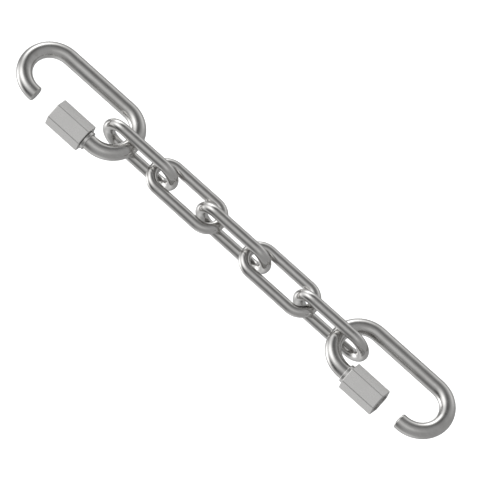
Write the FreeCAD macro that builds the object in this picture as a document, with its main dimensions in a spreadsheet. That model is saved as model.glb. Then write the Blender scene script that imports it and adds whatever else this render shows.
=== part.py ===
import FreeCAD, Part
import math
import os

import Sketcher

# Safety chain: five welded links between two quick links, each shut by a long hexagon nut.
# Millimetres. X runs along the chain, Y lies across it in the plane of the quick links, Z is up.
# The origin is on the ground, under the middle of the chain's outline.

# Every size that can be set by itself.
SIZES = {
    # quick link: a rod bent into an eye with a mouth on one side
    "rod_diameter": 8.0,
    "eye_bow_radius": 13.5,         # centre line of each rounded end
    "eye_straight": 38.0,           # between the centres of the rounded ends
    "hook_stub": 2.0,               # straight end of the hook, after the outer bow
    "rod_end_radius": 0.9,          # rounding of both ends of the rod
    "thread_pitch": 1.25,
    "thread_depth": 0.7,
    "thread_land": 0.12,            # flat crest left between two turns
    "thread_overcut": 0.09,         # how far the cut starts outside the rod
    # stop ring pressed on the rod behind the nut
    "ring_offset": 2.1,             # centre of the inner bow to the ring
    "ring_length": 1.8,
    "ring_wall": 1.0,               # how far it stands out from the rod
    "ring_edge_radius": 0.4,
    "ring_gap": 0.1,                # ring to the nut that is screwed back to it
    # long hexagon nut
    "nut_across_flats": 13.0,
    "nut_length": 20.0,
    "nut_corner_radius": 0.7,       # along the six corners
    "nut_edge_radius": 0.35,        # round the outline of both ends
    "nut_clearance": 0.05,          # bore over the rod, all round
    "nut_rod_recess": 1.0,          # how far inside the nut's mouth the rod stops
    "seat_depth": 1.0,              # counterbore in the mouth that takes the hook end
    "seat_clearance": 0.45,         # counterbore over the rod, all round
    # chain link: a wire bent into a closed oval
    "wire_diameter": 5.7,
    "link_bow_radius": 7.75,        # centre line of each rounded end
    "link_straight": 25.5,          # between the centres of the rounded ends
    # how far each pair is pushed together from where it would pull tight
    "first_eye_slack": 7.4,
    "link_slack": 5.2,
    "last_link_slack": 2.3,
    "last_eye_slack": 7.8,
}
LINK_COUNT = 5
NUT_SIDES = 6

# Lengths that several pieces share, as expressions on the sheet.
ROD_RADIUS = "(Sizes.rod_diameter / 2)"
WIRE_RADIUS = "(Sizes.wire_diameter / 2)"
EYE_REACH = f"(Sizes.eye_straight + Sizes.eye_bow_radius + {ROD_RADIUS})"
EYE_PITCH = (f"(Sizes.eye_bow_radius - {ROD_RADIUS}"
             f" + Sizes.link_straight / 2 + Sizes.link_bow_radius - {WIRE_RADIUS})")
LINK_PITCH = "(Sizes.link_straight + 2 * Sizes.link_bow_radius - Sizes.wire_diameter)"
ALL_SLACK = (f"(Sizes.first_eye_slack + {LINK_COUNT - 2} * Sizes.link_slack"
             " + Sizes.last_link_slack + Sizes.last_eye_slack)")
HALF_LENGTH = f"({EYE_REACH} + {EYE_PITCH} + {LINK_COUNT - 1} / 2 * {LINK_PITCH} - {ALL_SLACK} / 2)"
NUT_START = "(Sizes.ring_offset + Sizes.ring_length + Sizes.ring_gap)"
STUD_LENGTH = f"({NUT_START} + Sizes.nut_length - Sizes.nut_rod_recess)"
THREAD_LENGTH = f"({STUD_LENGTH} - Sizes.ring_offset - Sizes.ring_length / 2)"
THREAD_ROOT = f"({ROD_RADIUS} - Sizes.thread_depth)"
THREAD_MOUTH = f"({ROD_RADIUS} + Sizes.thread_overcut)"
THREAD_WIDTH = "(Sizes.thread_pitch - Sizes.thread_land)"
RING_RADIUS = f"({ROD_RADIUS} + Sizes.ring_wall)"

# The chain's own axis: midway across the outline, and one upright link's half height up.
AXIS_Y = "(Sizes.nut_across_flats - Sizes.rod_diameter) / 4"
AXIS_Z = f"Sizes.link_bow_radius + {WIRE_RADIUS}"
NUT_AXIS_Y = f"{AXIS_Y} - Sizes.eye_bow_radius"

X_DIRECTION = FreeCAD.Vector(1, 0, 0)
Z_DIRECTION = FreeCAD.Vector(0, 0, 1)
NO_TURN = FreeCAD.Rotation()
END_FOR_END = FreeCAD.Rotation(FreeCAD.Vector(0, 1, 0), 180)
ON_EDGE = FreeCAD.Rotation(X_DIRECTION, 90)

# Sketcher's numbers for its axes and for the ends and centre of an edge.
SKETCH_X_AXIS = -1
SKETCH_Y_AXIS = -2
START = 1
END = 2
CENTRE = 3
ORIGIN = (SKETCH_X_AXIS, START)

# Two lengths nearer than this are the same, and a direction counts as X from this cosine on.
SAME_LENGTH = 0.001
NEARLY_ALONG = 0.999

doc = FreeCAD.newDocument("SafetyChain")


def make_sheet():
    """The driving sizes, one row each, with the name a formula reads."""
    sheet = doc.addObject("Spreadsheet::Sheet", "Sizes")
    for row, (alias, value) in enumerate(SIZES.items(), start=1):
        sheet.set(f"A{row}", alias.replace("_", " "))
        sheet.set(f"B{row}", str(value))
        sheet.setAlias(f"B{row}", alias)
    doc.recompute()


def size_of(expression):
    """A shared length as a number, to draw a sketch near its solved shape."""
    return float(doc.Sizes.evalExpression(expression.replace("Sizes.", "")))


def new_body(name):
    """A sub-part, labelled with its node's name."""
    body = doc.addObject("PartDesign::Body", name)
    body.Label = name
    return body


def new_sketch(body, name, role, lift=None):
    """A sketch on one of the body's origin planes, or at a distance along its normal."""
    plane = next(o for o in body.Origin.OriginFeatures if o.Role == role)
    sketch = body.newObject("Sketcher::SketchObject", name)
    sketch.AttachmentSupport = [(plane, "")]
    sketch.MapMode = "FlatFace"
    if lift:
        sketch.setExpression("AttachmentOffset.Base.z", lift)
    return sketch


def bind(sketch, name, expression, kind, *points):
    """Add a named dimension that follows the sheet."""
    index = sketch.addConstraint(Sketcher.Constraint(kind, *points, size_of(expression)))
    sketch.renameConstraint(index, name)
    sketch.setExpression(f"Constraints.{name}", expression)


def add_circle(sketch, name, radius, centre_x=None):
    """A circle round the sketch's origin, or at a distance back along its X axis."""
    circle = Part.Circle(FreeCAD.Vector(), Z_DIRECTION, size_of(radius))
    if centre_x:
        circle.Center = FreeCAD.Vector(-size_of(centre_x), 0, 0)
    edge = sketch.addGeometry(circle)
    if centre_x:
        sketch.addConstraint(Sketcher.Constraint("PointOnObject", edge, CENTRE, SKETCH_X_AXIS))
        bind(sketch, f"{name}_offset", centre_x, "DistanceX", edge, CENTRE, *ORIGIN)
    else:
        sketch.addConstraint(Sketcher.Constraint("Coincident", edge, CENTRE, *ORIGIN))
    bind(sketch, f"{name}_radius", radius, "Radius", edge)


def add_bow(sketch, centre_x, radius, first, last):
    """An arc round a point of the sketch's X axis, with its angles in degrees."""
    circle = Part.Circle(FreeCAD.Vector(centre_x, 0, 0), Z_DIRECTION, radius)
    edge = sketch.addGeometry(Part.ArcOfCircle(circle, math.radians(first), math.radians(last)))
    sketch.addConstraint(Sketcher.Constraint("PointOnObject", edge, CENTRE, SKETCH_X_AXIS))
    return edge


def add_run(sketch, first_x, last_x, y):
    """A straight run along X."""
    first = FreeCAD.Vector(first_x, y, 0)
    last = FreeCAD.Vector(last_x, y, 0)
    return sketch.addGeometry(Part.LineSegment(first, last))


def keep_level(sketch, *edges):
    """Hold straight runs parallel to X."""
    for edge in edges:
        sketch.addConstraint(Sketcher.Constraint("Horizontal", edge))


def join_smoothly(sketch, *edges):
    """Each edge starts where the last one ends, with no corner."""
    for edge, following in zip(edges, edges[1:]):
        sketch.addConstraint(Sketcher.Constraint("Tangent", edge, END, following, START))


def add_pipe(body, name, section, path):
    """A round bar along a path sketch."""
    pipe = body.newObject("PartDesign::AdditivePipe", name)
    pipe.Profile = section
    pipe.Spine = (path, [f"Edge{i + 1}" for i in range(path.GeometryCount)])
    doc.recompute()
    return pipe


def add_pocket(body, name, sketch, depth=None):
    """A cut along +X by a depth that follows the sheet, or right through the body."""
    pocket = body.newObject("PartDesign::Pocket", name)
    pocket.Profile = sketch
    if depth:
        pocket.Type = "Length"
        pocket.Reversed = True
        pocket.setExpression("Length", depth)
    else:
        pocket.Type = "ThroughAll"
        pocket.Midplane = True
    doc.recompute()
    return pocket


def round_edges(body, name, base, radius, chosen):
    """Round the edges that the test picks out."""
    fillet = body.newObject("PartDesign::Fillet", name)
    names = [f"Edge{i}" for i, edge in enumerate(base.Shape.Edges, start=1) if chosen(edge)]
    fillet.Base = (base, names)
    fillet.setExpression("Radius", radius)
    doc.recompute()
    return fillet


def along_from(body, step):
    """A place along X measured from another sub-part's own."""
    return f"{body.Name}.Placement.Base.x + ({step}) * 1 mm"


def place(body, turn, base_x, base_y=AXIS_Y):
    """Put a sub-part in the chain, with a position that follows the sheet."""
    body.Placement = FreeCAD.Placement(FreeCAD.Vector(), turn)
    body.setExpression("Placement.Base.x", base_x)
    body.setExpression("Placement.Base.y", base_y)
    body.setExpression("Placement.Base.z", AXIS_Z)
    doc.recompute()
    return body


def make_rod(number, turn, base_x):
    """Bent rod. Its origin is the inner bow's centre, and the eye runs from there towards -X."""
    body = new_body(f"quick_link_rod_{number}")
    radius = size_of("Sizes.eye_bow_radius")
    straight = size_of("Sizes.eye_straight")
    stud_length = size_of(STUD_LENGTH)
    hook_stub = size_of("Sizes.hook_stub")

    # centre line: threaded stud, inner bow, plain side, outer bow and the hook's straight end
    path = new_sketch(body, f"rod_path_{number}", "XY_Plane")
    stud = add_run(path, -stud_length, 0, -radius)
    inner = add_bow(path, 0, radius, -90, 90)
    side = add_run(path, 0, -straight, radius)
    outer = add_bow(path, -straight, radius, 90, 270)
    hook = add_run(path, -straight, hook_stub - straight, -radius)
    join_smoothly(path, stud, inner, side, outer, hook)
    keep_level(path, stud, side, hook)
    path.addConstraint(Sketcher.Constraint("PointOnObject", inner, CENTRE, SKETCH_Y_AXIS))
    bind(path, "bow_radius", "Sizes.eye_bow_radius", "Radius", inner)
    bind(path, "straight", "Sizes.eye_straight", "DistanceX", outer, CENTRE, inner, CENTRE)
    bind(path, "stud_length", STUD_LENGTH, "DistanceX", stud, START, inner, CENTRE)
    bind(path, "hook_stub", "Sizes.hook_stub", "DistanceX", hook, START, hook, END)

    section = new_sketch(body, f"rod_section_{number}", "YZ_Plane", lift=f"-{STUD_LENGTH}")
    add_circle(section, "rod", ROD_RADIUS, centre_x="Sizes.eye_bow_radius")
    bar = add_pipe(body, f"rod_bar_{number}", section, path)
    girth = 2 * math.pi * size_of(ROD_RADIUS)
    round_edges(body, f"rod_ends_{number}", bar, "Sizes.rod_end_radius",
                lambda edge: is_rim(edge, girth))

    # thread: a V cut wound back from the stud's end to inside the ring
    tooth = new_sketch(body, f"thread_tooth_{number}", "XY_Plane")
    tooth.setExpression("AttachmentOffset.Base.x", f"-{STUD_LENGTH}")
    tooth.setExpression("AttachmentOffset.Base.y", "-Sizes.eye_bow_radius")
    draw_tooth(tooth)
    thread = body.newObject("PartDesign::SubtractiveHelix", f"thread_{number}")
    thread.Profile = tooth
    thread.ReferenceAxis = (tooth, ["H_Axis"])
    thread.Mode = "pitch-height-angle"
    thread.setExpression("Pitch", "Sizes.thread_pitch")
    thread.setExpression("Height", THREAD_LENGTH)
    doc.recompute()
    return place(body, turn, base_x)


def is_rim(edge, girth):
    """A full circle of a piece's own girth, at one of its two ends."""
    return edge.Closed and abs(edge.Length - girth) < SAME_LENGTH


def close_loop(sketch, corners):
    """Straight edges from corner to corner and back to the first."""
    following = corners[1:] + corners[:1]
    edges = [sketch.addGeometry(Part.LineSegment(a, b)) for a, b in zip(corners, following)]
    for edge, after in zip(edges, edges[1:] + edges[:1]):
        sketch.addConstraint(Sketcher.Constraint("Coincident", edge, END, after, START))
    return edges


def draw_tooth(sketch):
    """The V between two threads: its mouth just clear of the rod, its point at the thread's root."""
    root = size_of(THREAD_ROOT)
    mouth = size_of(THREAD_MOUTH)
    half = size_of(THREAD_WIDTH) / 2
    corners = [FreeCAD.Vector(-half, mouth, 0), FreeCAD.Vector(half, mouth, 0), FreeCAD.Vector(0, root, 0)]
    top, flank, back = close_loop(sketch, corners)
    sketch.addConstraint(Sketcher.Constraint("Horizontal", top))
    sketch.addConstraint(Sketcher.Constraint("Equal", flank, back))
    sketch.addConstraint(Sketcher.Constraint("PointOnObject", flank, END, SKETCH_Y_AXIS))
    bind(sketch, "root", THREAD_ROOT, "DistanceY", *ORIGIN, flank, END)
    bind(sketch, "mouth", THREAD_MOUTH, "DistanceY", *ORIGIN, top, START)
    bind(sketch, "width", THREAD_WIDTH, "DistanceX", top, START, top, END)


def make_ring(number, turn, base_x):
    """Stop ring pressed on the rod. Its origin is the middle of the face towards the bow."""
    body = new_body(f"stop_ring_{number}")
    sketch = new_sketch(body, f"ring_section_{number}", "YZ_Plane")
    add_circle(sketch, "outer", RING_RADIUS)
    add_circle(sketch, "bore", ROD_RADIUS)
    pad = body.newObject("PartDesign::Pad", f"ring_pad_{number}")
    pad.Profile = sketch
    pad.Reversed = True
    pad.setExpression("Length", "Sizes.ring_length")
    doc.recompute()
    girth = 2 * math.pi * size_of(RING_RADIUS)
    round_edges(body, f"ring_edges_{number}", pad, "Sizes.ring_edge_radius",
                lambda edge: is_rim(edge, girth))
    return place(body, turn, base_x, NUT_AXIS_Y)


def make_nut(number, turn, base_x):
    """Long hexagon nut with two flats square to Y. Its origin is the middle of the face by the ring."""
    body = new_body(f"quick_link_nut_{number}")
    sketch = new_sketch(body, f"nut_hexagon_{number}", "YZ_Plane")
    corner_radius = "Sizes.nut_across_flats / sqrt(3)"
    reach = size_of(corner_radius)
    guide = sketch.addGeometry(Part.Circle(FreeCAD.Vector(), Z_DIRECTION, reach), True)
    sketch.addConstraint(Sketcher.Constraint("Coincident", guide, CENTRE, *ORIGIN))
    angles = [math.radians(90 + 360 / NUT_SIDES * i) for i in range(NUT_SIDES)]
    corners = [FreeCAD.Vector(reach * math.cos(a), reach * math.sin(a), 0) for a in angles]
    sides = close_loop(sketch, corners)
    for side in sides:
        sketch.addConstraint(Sketcher.Constraint("PointOnObject", side, START, guide))
    for side in sides[1:]:
        sketch.addConstraint(Sketcher.Constraint("Equal", sides[0], side))
    sketch.addConstraint(Sketcher.Constraint("PointOnObject", sides[0], START, SKETCH_Y_AXIS))
    bind(sketch, "corner_radius", corner_radius, "Radius", guide)

    pad = body.newObject("PartDesign::Pad", f"nut_bar_{number}")
    pad.Profile = sketch
    pad.Reversed = True
    pad.setExpression("Length", "Sizes.nut_length")
    doc.recompute()
    bar = round_edges(body, f"nut_corners_{number}", pad, "Sizes.nut_corner_radius", runs_along_x)
    round_edges(body, f"nut_ends_{number}", bar, "Sizes.nut_edge_radius", runs_across)

    bore = new_sketch(body, f"nut_bore_{number}", "YZ_Plane")
    add_circle(bore, "bore", f"{ROD_RADIUS} + Sizes.nut_clearance")
    add_pocket(body, f"nut_bore_cut_{number}", bore)
    seat = new_sketch(body, f"nut_seat_{number}", "YZ_Plane", lift="-Sizes.nut_length")
    add_circle(seat, "seat", f"{ROD_RADIUS} + Sizes.seat_clearance")
    add_pocket(body, f"nut_seat_cut_{number}", seat, depth="Sizes.seat_depth")
    return place(body, turn, base_x, NUT_AXIS_Y)


def runs_along_x(edge):
    """A straight edge along the nut."""
    return abs(edge.tangentAt(edge.FirstParameter).dot(X_DIRECTION)) > NEARLY_ALONG


def runs_across(edge):
    """An edge in the outline of one end of the nut."""
    return edge.BoundBox.XLength < SAME_LENGTH


def make_link(number, turn, base_x):
    """Closed oval link, flat in its own XY plane. Its origin is its centre."""
    body = new_body(f"chain_link_{number}")
    radius = size_of("Sizes.link_bow_radius")
    half = size_of("Sizes.link_straight / 2")
    path = new_sketch(body, f"link_path_{number}", "XY_Plane")
    right = add_bow(path, half, radius, -90, 90)
    top = add_run(path, half, -half, radius)
    left = add_bow(path, -half, radius, 90, 270)
    bottom = add_run(path, -half, half, -radius)
    join_smoothly(path, right, top, left, bottom, right)
    keep_level(path, top)
    bind(path, "bow_radius", "Sizes.link_bow_radius", "Radius", right)
    bind(path, "right_centre", "Sizes.link_straight / 2", "DistanceX", *ORIGIN, right, CENTRE)
    bind(path, "left_centre", "Sizes.link_straight / 2", "DistanceX", left, CENTRE, *ORIGIN)

    section = new_sketch(body, f"link_section_{number}", "YZ_Plane")
    add_circle(section, "wire", WIRE_RADIUS, centre_x="Sizes.link_bow_radius")
    add_pipe(body, f"link_bar_{number}", section, path)
    return place(body, turn, base_x)


def write_parts(bodies):
    """Check every object and every solid, then write one file for each sub-part."""
    doc.recompute()
    for item in doc.Objects:
        if "Invalid" in item.State or "Error" in item.State:
            raise RuntimeError(f"{item.Label} failed to compute: {item.State}")
    for body in bodies:
        if body.Shape.isNull() or not body.Shape.isValid() or len(body.Shape.Solids) != 1:
            raise RuntimeError(f"{body.Label} is not one sound solid")
    os.makedirs("parts", exist_ok=True)
    for body in bodies:
        body.Shape.exportStep(f"parts/{body.Label}.step")
        box = body.Shape.optimalBoundingBox(False)
        print(f"{body.Label}: {body.Shape.Volume:.1f} mm3,"
              f" X {box.XMin:.2f} to {box.XMax:.2f}, Y {box.YMin:.2f} to {box.YMax:.2f},"
              f" Z {box.ZMin:.2f} to {box.ZMax:.2f}")


def main():
    """Lay the pieces out along X, each one placed from the piece before it."""
    make_sheet()
    bodies = []

    first = make_rod(1, NO_TURN, f"{EYE_REACH} - {HALF_LENGTH}")
    bodies.append(first)
    bodies.append(make_ring(1, NO_TURN, along_from(first, "-Sizes.ring_offset")))
    bodies.append(make_nut(1, NO_TURN, along_from(first, f"-{NUT_START}")))

    # links stand on edge and lie flat in turn
    before = first
    step = f"{EYE_PITCH} - Sizes.first_eye_slack"
    for number in range(1, LINK_COUNT + 1):
        turn = ON_EDGE if number % 2 else NO_TURN
        link = make_link(number, turn, along_from(before, step))
        bodies.append(link)
        before = link
        slack = "Sizes.link_slack" if number < LINK_COUNT - 1 else "Sizes.last_link_slack"
        step = f"{LINK_PITCH} - {slack}"

    last = make_rod(2, END_FOR_END, along_from(before, f"{EYE_PITCH} - Sizes.last_eye_slack"))
    bodies.append(last)
    bodies.append(make_ring(2, END_FOR_END, along_from(last, "Sizes.ring_offset")))
    bodies.append(make_nut(2, END_FOR_END, along_from(last, NUT_START)))
    write_parts(bodies)


main()
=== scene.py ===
import math

import bpy
from mathutils import Matrix, Vector


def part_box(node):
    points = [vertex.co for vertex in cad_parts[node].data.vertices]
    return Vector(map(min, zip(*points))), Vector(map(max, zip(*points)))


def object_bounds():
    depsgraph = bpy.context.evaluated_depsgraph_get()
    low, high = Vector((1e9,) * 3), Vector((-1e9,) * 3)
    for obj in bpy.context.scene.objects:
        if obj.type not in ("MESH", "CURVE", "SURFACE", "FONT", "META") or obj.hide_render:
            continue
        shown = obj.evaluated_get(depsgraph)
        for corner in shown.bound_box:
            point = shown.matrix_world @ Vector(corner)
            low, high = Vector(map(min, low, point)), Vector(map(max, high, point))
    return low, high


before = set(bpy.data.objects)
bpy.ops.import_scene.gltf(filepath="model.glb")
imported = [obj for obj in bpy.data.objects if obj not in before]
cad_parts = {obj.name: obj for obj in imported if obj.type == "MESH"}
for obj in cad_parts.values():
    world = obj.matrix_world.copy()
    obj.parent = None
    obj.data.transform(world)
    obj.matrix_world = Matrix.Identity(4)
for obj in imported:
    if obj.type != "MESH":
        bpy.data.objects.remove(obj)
cad_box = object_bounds()

# The looks of a safety chain with an open quick link at each end. The chain runs along X. Every shape is
# the CAD's own, so what follows is steel, light, floor and camera. Lengths are in metres.

MM = 0.001
RODS = ("quick_link_rod_1", "quick_link_rod_2")
NUTS = ("quick_link_nut_1", "quick_link_nut_2")
RINGS = ("stop_ring_1", "stop_ring_2")
LINKS = tuple(f"chain_link_{number}" for number in range(1, 6))

# ---------------------------------------------------------------- sizes of the finish

# how long, how wide and how deep each kind of mark is
STREAK = (22 * MM, 0.16 * MM, 0.010 * MM)       # drawing marks, along the bar
SCRATCH = (3.0 * MM, 0.14 * MM, 0.010 * MM)     # handling scratches, at a slant to the drawing marks
SCRATCH_SLANT = 0.35
GRAIN = (0.35 * MM, 0.35 * MM, 0.004 * MM)      # fine bead of the tumbled surface
CLOUD = (6 * MM, 6 * MM)                        # where polishing left the steel brighter or duller
LATHE_STEP = 0.22 * MM                          # from one lathe ring to the next
LATHE_DEPTH = 0.009 * MM
NUT_END_DEPTH = 0.2 * MM                        # how far from a nut's end its lathe rings fade out
RUB_REACH = 6.0 * MM                            # how far round a bow its neighbour rubs it
RUB_SIDE = 0.8                                  # share of the bar's inner half that the rubbing spans
SIDE_SHIFT = 3.0                                # in mark widths, so that an oval's two runs don't match

# the stretch of each noise over which it goes from none of its effect to all of it
CLOUD_SPAN = (0.30, 0.72)
MARK_SPAN = (0.25, 0.80)
SCRATCH_SPAN = (0.70, 0.78)
RUB_SPAN = (0.35, 0.60)

BAR_STEEL = (0.650, 0.644, 0.634)
DULL_STEEL = (0.560, 0.552, 0.538)
RUBBED_STEEL = (0.700, 0.696, 0.688)
NUT_STEEL = (0.665, 0.660, 0.650)
MARK_TINT = 0.5             # most that a mark does to the colour

BAR_ROUGHNESS = 0.14
NUT_ROUGHNESS = 0.26
# how much each adds to the roughness, or takes from it
CLOUD_DULLNESS = 0.04
MARK_DULLNESS = 0.03
SCRATCH_DULLNESS = 0.12
RUB_DULLNESS = -0.05

# ---------------------------------------------------------------- camera

VIEW_AZIMUTH = 288.7        # degrees from +X towards +Y, to the camera
VIEW_ELEVATION = 61.2
VIEW_ROLL = 25.4            # the chain runs across the picture from upper left to lower right
LENS = 1000                 # millimetres: long enough to flatten the perspective away
SENSOR = 36
VIEW_WIDTH = 228.7 * MM     # what the picture takes in at the object
VIEW_OFFSET = (3.03 * MM, 0.55 * MM)    # picture centre from the object's centre, to the right and up
FAR_CLIP = 100

# ---------------------------------------------------------------- studio

# degrees: azimuth from +X towards +Y, elevation, half width; then brightness
SOFTBOXES = {
    "key": (205, 35, 18, 1.7),
    "rear strip": (140, 20, 15, 3.2),
    "overhead": (290, 57, 15, 0.3),
    "far strip": (85, 15, 15, 0.5),
    "low left reflector": (202, -30, 16, 3.2),
    "low rear reflector": (145, -47, 14, 3.2),
    "low front reflector": (280, -55, 18, 0.45),
}
# the same, with the share of the light behind it that it takes away
DARK_CARDS = {
    "card above": (140, 53, 20, 0.8),
    "card in front": (245, 0, 17, 0.8),
    "card behind": (160, -37, 25, 0.87),
    "card below": (108, -61, 13, 0.8),
}
ROOM_LIGHT = 0.41
BACKDROP_LIGHT = 1.0
FLOOR_SIZE = 6.0
FLOOR_ALBEDO = 0.86
FLOOR_ROUGHNESS = 0.8
FLOOR_GLOW = 0.8            # a light table, so that the floor stays pale round the object


class Graph:
    """Adds nodes to one node tree. An input takes a number, a tuple or another node's output."""

    def __init__(self, tree):
        self.tree = tree
        tree.nodes.clear()

    def node(self, kind, inputs=None, **settings):
        made = self.tree.nodes.new(kind)
        for name, value in settings.items():
            setattr(made, name, value)
        for name, value in (inputs or {}).items():
            if isinstance(value, bpy.types.NodeSocket):
                self.tree.links.new(value, made.inputs[name])
            else:
                made.inputs[name].default_value = value
        return made

    def calc(self, operation, *values):
        return self.node("ShaderNodeMath", dict(enumerate(values)), operation=operation).outputs[0]

    def vector(self, operation, *values):
        made = self.node("ShaderNodeVectorMath", dict(enumerate(values)), operation=operation)
        return made.outputs["Value" if operation == "DOT_PRODUCT" else "Vector"]

    def noise(self, place, detail):
        """Noise from 0 to 1 whose features are about one unit across."""
        settings = {"Vector": place, "Scale": 1.0, "Detail": detail}
        return self.node("ShaderNodeTexNoise", settings).outputs["Fac"]

    def ramp(self, value, start, end, low=0.0, high=1.0):
        """Low at the start, high at the end, smooth between them and level beyond them."""
        settings = {"Value": value, "From Min": start, "From Max": end, "To Min": low, "To Max": high}
        made = self.node("ShaderNodeMapRange", settings, interpolation_type="SMOOTHSTEP")
        return made.outputs["Result"]

    def blend(self, share, first, second):
        """A colour between two colours."""
        made = self.node("ShaderNodeMix", {"Factor": share}, data_type="RGBA")
        sockets = [socket for socket in made.inputs if socket.type == "RGBA"]
        for socket, colour in zip(sockets, (first, second)):
            if isinstance(colour, bpy.types.NodeSocket):
                self.tree.links.new(colour, socket)
            else:
                socket.default_value = (*colour, 1)
        return next(socket for socket in made.outputs if socket.type == "RGBA")

    def bump(self, height, depth, under=None):
        """The surface raised by up to a depth where the height is 1, on top of another bump."""
        inputs = {"Height": height, "Distance": depth, "Strength": 1.0}
        if under:
            inputs["Normal"] = under
        return self.node("ShaderNodeBump", inputs).outputs[0]


def start_material(name):
    material = bpy.data.materials.new(name)
    material.use_nodes = True
    return material, Graph(material.node_tree)


# ---------------------------------------------------------------- places on a piece

class Place:
    """Where a point of a piece is: how far along the bar, and two lengths across it, all as node outputs."""

    def __init__(self, graph, along, outward, sideways, shift=0.0):
        self.graph = graph
        self.along = along
        self.outward = outward
        self.sideways = sideways
        self.shift = shift

    def in_marks(self, mark, slant=0.0):
        """The place in units of a mark's own length and width."""
        calc = self.graph.calc
        length, width = mark[:2]
        sideways = calc("MULTIPLY_ADD", self.along, slant, self.sideways)
        last = calc("ADD", calc("DIVIDE", sideways, width), self.shift)
        parts = {0: calc("DIVIDE", self.along, length), 1: calc("DIVIDE", self.outward, width), 2: last}
        return self.graph.node("ShaderNodeCombineXYZ", parts).outputs[0]


def local_place(graph, centre):
    """A point's X, Y and Z from a centre, on the piece at rest."""
    place = graph.node("ShaderNodeTexCoord").outputs["Object"]
    local = graph.vector("SUBTRACT", place, tuple(centre))
    return graph.node("ShaderNodeSeparateXYZ", {0: local}).outputs


class Oval:
    """The centre line of a bar bent into an oval, worked out from its CAD node's box."""

    def __init__(self, name):
        low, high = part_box(name)
        size = high - low
        self.centre = (low + high) / 2
        self.lies_flat = size.z < size.y
        thickness, width = sorted((size.y, size.z))
        self.bar_radius = thickness / 2
        self.bow_radius = width / 2 - self.bar_radius
        self.half_run = size.x / 2 - width / 2


def place_on_oval(graph, oval):
    """The place on a bent bar, and the angle round its bow, from 0 where the bow starts to a right angle."""
    calc = graph.calc
    x, y, z = local_place(graph, oval.centre)
    across, sideways = (y, z) if oval.lies_flat else (z, y)
    on_run = calc("MAXIMUM", calc("MINIMUM", x, oval.half_run), -oval.half_run)
    past_run = calc("ABSOLUTE", calc("SUBTRACT", x, on_run))
    from_bow = calc("SQRT", calc("MULTIPLY_ADD", across, across, calc("POWER", past_run, 2.0)))
    outward = calc("SUBTRACT", from_bow, oval.bow_radius)
    angle = calc("ARCTAN2", past_run, calc("ABSOLUTE", across))
    on_bow = calc("MULTIPLY", calc("MULTIPLY", angle, oval.bow_radius), calc("SIGN", x))
    shift = calc("MULTIPLY", across, SIDE_SHIFT / oval.bow_radius)
    return Place(graph, calc("ADD", on_run, on_bow), outward, sideways, shift), angle


# ---------------------------------------------------------------- steel

def finish_steel(graph, place, marks, depth, clouds, colours, base_roughness, rubbed=0.0):
    """Cloudy colour and gloss under a layer of marks, with scratches and rubbed places on top."""
    dull, bright = colours
    scratch_noise = graph.noise(place.in_marks(SCRATCH, SCRATCH_SLANT), detail=1.0)
    scratched = graph.ramp(scratch_noise, *SCRATCH_SPAN)
    colour = graph.blend(graph.ramp(clouds, *CLOUD_SPAN), dull, bright)
    colour = graph.blend(graph.ramp(marks, *MARK_SPAN, 0.0, MARK_TINT), colour, bright)
    colour = graph.blend(rubbed, colour, RUBBED_STEEL)

    least, most = base_roughness - CLOUD_DULLNESS, base_roughness + CLOUD_DULLNESS
    roughness = graph.ramp(clouds, *CLOUD_SPAN, least, most)
    by_marks = graph.ramp(marks, *MARK_SPAN, -MARK_DULLNESS, MARK_DULLNESS)
    roughness = graph.calc("ADD", roughness, by_marks)
    roughness = graph.calc("MULTIPLY_ADD", scratched, SCRATCH_DULLNESS, roughness)
    roughness = graph.calc("MULTIPLY_ADD", rubbed, RUB_DULLNESS, roughness)

    normal = graph.bump(marks, depth)
    normal = graph.bump(graph.noise(place.in_marks(GRAIN), detail=2.0), GRAIN[2], normal)
    normal = graph.bump(graph.calc("SUBTRACT", 1.0, scratched), SCRATCH[2], normal)
    shader = graph.node("ShaderNodeBsdfPrincipled", {
        "Base Color": colour,
        "Metallic": 1.0,
        "Roughness": roughness,
        "Normal": normal,
    })
    graph.node("ShaderNodeOutputMaterial", {"Surface": shader.outputs[0]})


def bar_steel(name):
    """Satin bar: drawing marks that follow its bends, cloudy polish, and bows rubbed bright inside."""
    material, graph = start_material(f"{name}_steel")
    oval = Oval(name)
    place, angle = place_on_oval(graph, oval)
    streaks = graph.noise(place.in_marks(STREAK), detail=3.0)
    clouds = graph.noise(place.in_marks(CLOUD), detail=3.0)
    inside = graph.ramp(place.outward, 0.0, -RUB_SIDE * oval.bar_radius)
    crown = graph.ramp(angle, math.pi / 2 - RUB_REACH / oval.bow_radius, math.pi / 2)
    uneven = graph.ramp(clouds, *RUB_SPAN)
    rubbed = graph.calc("MULTIPLY", graph.calc("MULTIPLY", inside, crown), uneven)
    finish_steel(graph, place, streaks, STREAK[2], clouds, (DULL_STEEL, BAR_STEEL), BAR_ROUGHNESS, rubbed)
    return material


def lathe_rings(graph, place):
    """Ring marks round X, on end faces and on round faces alike."""
    calc = graph.calc
    squared = calc("MULTIPLY_ADD", place.outward, place.outward, calc("POWER", place.sideways, 2.0))
    radius = calc("SQRT", squared)
    turns = calc("MULTIPLY", calc("ADD", radius, place.along), 2 * math.pi / LATHE_STEP)
    return calc("MULTIPLY_ADD", calc("SINE", turns), 0.5, 0.5)


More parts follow.
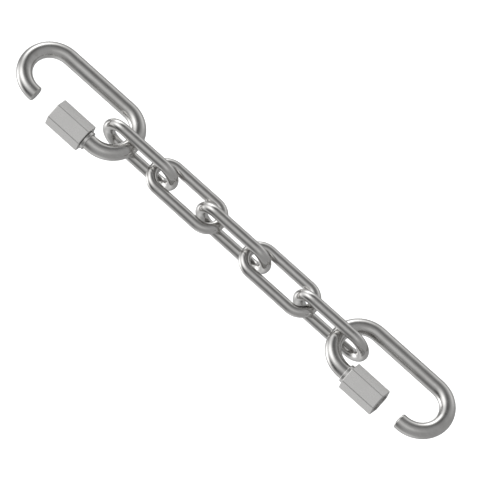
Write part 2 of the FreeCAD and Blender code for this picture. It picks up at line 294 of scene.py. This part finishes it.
def turned_steel(name, has_flats):
    """Machined steel with the lathe's rings, which on a hexagon bar are on its ends only."""
    material, graph = start_material(f"{name}_steel")
    low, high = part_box(name)
    place = Place(graph, *local_place(graph, (low + high) / 2))
    marks = lathe_rings(graph, place)
    if has_flats:
        end = (high.x - low.x) / 2
        near_end = graph.ramp(graph.calc("ABSOLUTE", place.along), end - NUT_END_DEPTH, end)
        streaks = graph.noise(place.in_marks(STREAK), detail=3.0)
        mixed = graph.node("ShaderNodeMix", {"Factor": near_end, 2: streaks, 3: marks}, data_type="FLOAT")
        marks = mixed.outputs[0]
    clouds = graph.noise(place.in_marks(CLOUD), detail=3.0)
    finish_steel(graph, place, marks, LATHE_DEPTH, clouds, (BAR_STEEL, NUT_STEEL), NUT_ROUGHNESS)
    return material


def dress(name, material):
    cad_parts[name].material_slots[0].material = material


# ---------------------------------------------------------------- light, floor and camera

def towards(azimuth, elevation):
    """The direction to something in the studio, as a vector of length 1."""
    azimuth, elevation = math.radians(azimuth), math.radians(elevation)
    level = math.cos(elevation)
    return Vector((math.cos(azimuth) * level, math.sin(azimuth) * level, math.sin(elevation)))


def lobe(graph, direction, azimuth, elevation, half_width):
    """1 in the middle of a soft round light, falling to 0 round it."""
    facing = graph.vector("DOT_PRODUCT", direction, tuple(towards(azimuth, elevation)))
    sharpness = 1 / math.radians(half_width) ** 2
    return graph.calc("EXPONENT", graph.calc("MULTIPLY", graph.calc("SUBTRACT", facing, 1.0), sharpness))


def make_studio():
    """A pale room with softboxes and dark cards, which the steel shows as its bright and dark bands."""
    world = bpy.data.worlds.new("studio")
    bpy.context.scene.world = world
    world.use_nodes = True
    graph = Graph(world.node_tree)
    direction = graph.node("ShaderNodeTexCoord").outputs["Generated"]
    light = ROOM_LIGHT
    for *place, brightness in SOFTBOXES.values():
        light = graph.calc("MULTIPLY_ADD", lobe(graph, direction, *place), brightness, light)
    for *place, share in DARK_CARDS.values():
        kept = graph.calc("MULTIPLY_ADD", lobe(graph, direction, *place), -share, 1.0)
        light = graph.calc("MULTIPLY", light, kept)
    seen = graph.node("ShaderNodeLightPath").outputs["Is Camera Ray"]
    strength = graph.node("ShaderNodeMix", {"Factor": seen, 2: light, 3: BACKDROP_LIGHT}, data_type="FLOAT")
    background = graph.node("ShaderNodeBackground", {"Color": (1, 1, 1, 1), "Strength": strength.outputs[0]})
    graph.node("ShaderNodeOutputWorld", {"Surface": background.outputs[0]})


def make_floor():
    """A light table, one chain length down so that the chain can swing to its limits above it.

    The steel doesn't mirror it: the low reflectors stand for it.
    """
    low, high = cad_box
    middle = (low + high) / 2
    chain_length = high.x - low.x
    bpy.ops.mesh.primitive_plane_add(size=FLOOR_SIZE, location=(middle.x, middle.y, low.z - chain_length))
    floor = bpy.context.object
    floor.name = "floor"
    material, graph = start_material("light_table")
    shader = graph.node("ShaderNodeBsdfPrincipled", {
        "Base Color": (FLOOR_ALBEDO, FLOOR_ALBEDO, FLOOR_ALBEDO, 1),
        "Roughness": FLOOR_ROUGHNESS,
        "Emission Color": (1, 1, 1, 1),
        "Emission Strength": FLOOR_GLOW,
    })
    graph.node("ShaderNodeOutputMaterial", {"Surface": shader.outputs[0]})
    floor.data.materials.append(material)
    floor.visible_glossy = False


def make_camera():
    back = towards(VIEW_AZIMUTH, VIEW_ELEVATION)
    turn = back.to_track_quat("Z", "Y").to_matrix() @ Matrix.Rotation(math.radians(VIEW_ROLL), 3, "Z")
    right, up = turn.col[0], turn.col[1]
    low, high = cad_box
    target = (low + high) / 2 + right * VIEW_OFFSET[0] + up * VIEW_OFFSET[1]
    data = bpy.data.cameras.new("camera")
    data.lens = LENS
    data.sensor_width = SENSOR
    data.clip_end = FAR_CLIP
    camera = bpy.data.objects.new("camera", data)
    bpy.context.scene.collection.objects.link(camera)
    camera.matrix_world = Matrix.Translation(target + back * VIEW_WIDTH * LENS / SENSOR) @ turn.to_4x4()
    bpy.context.scene.camera = camera


for name in RODS + LINKS:
    dress(name, bar_steel(name))
for name in NUTS:
    dress(name, turned_steel(name, has_flats=True))
for name in RINGS:
    dress(name, turned_steel(name, has_flats=False))

make_studio()
make_floor()
make_camera()
bpy.context.scene.view_settings.view_transform = "Standard"
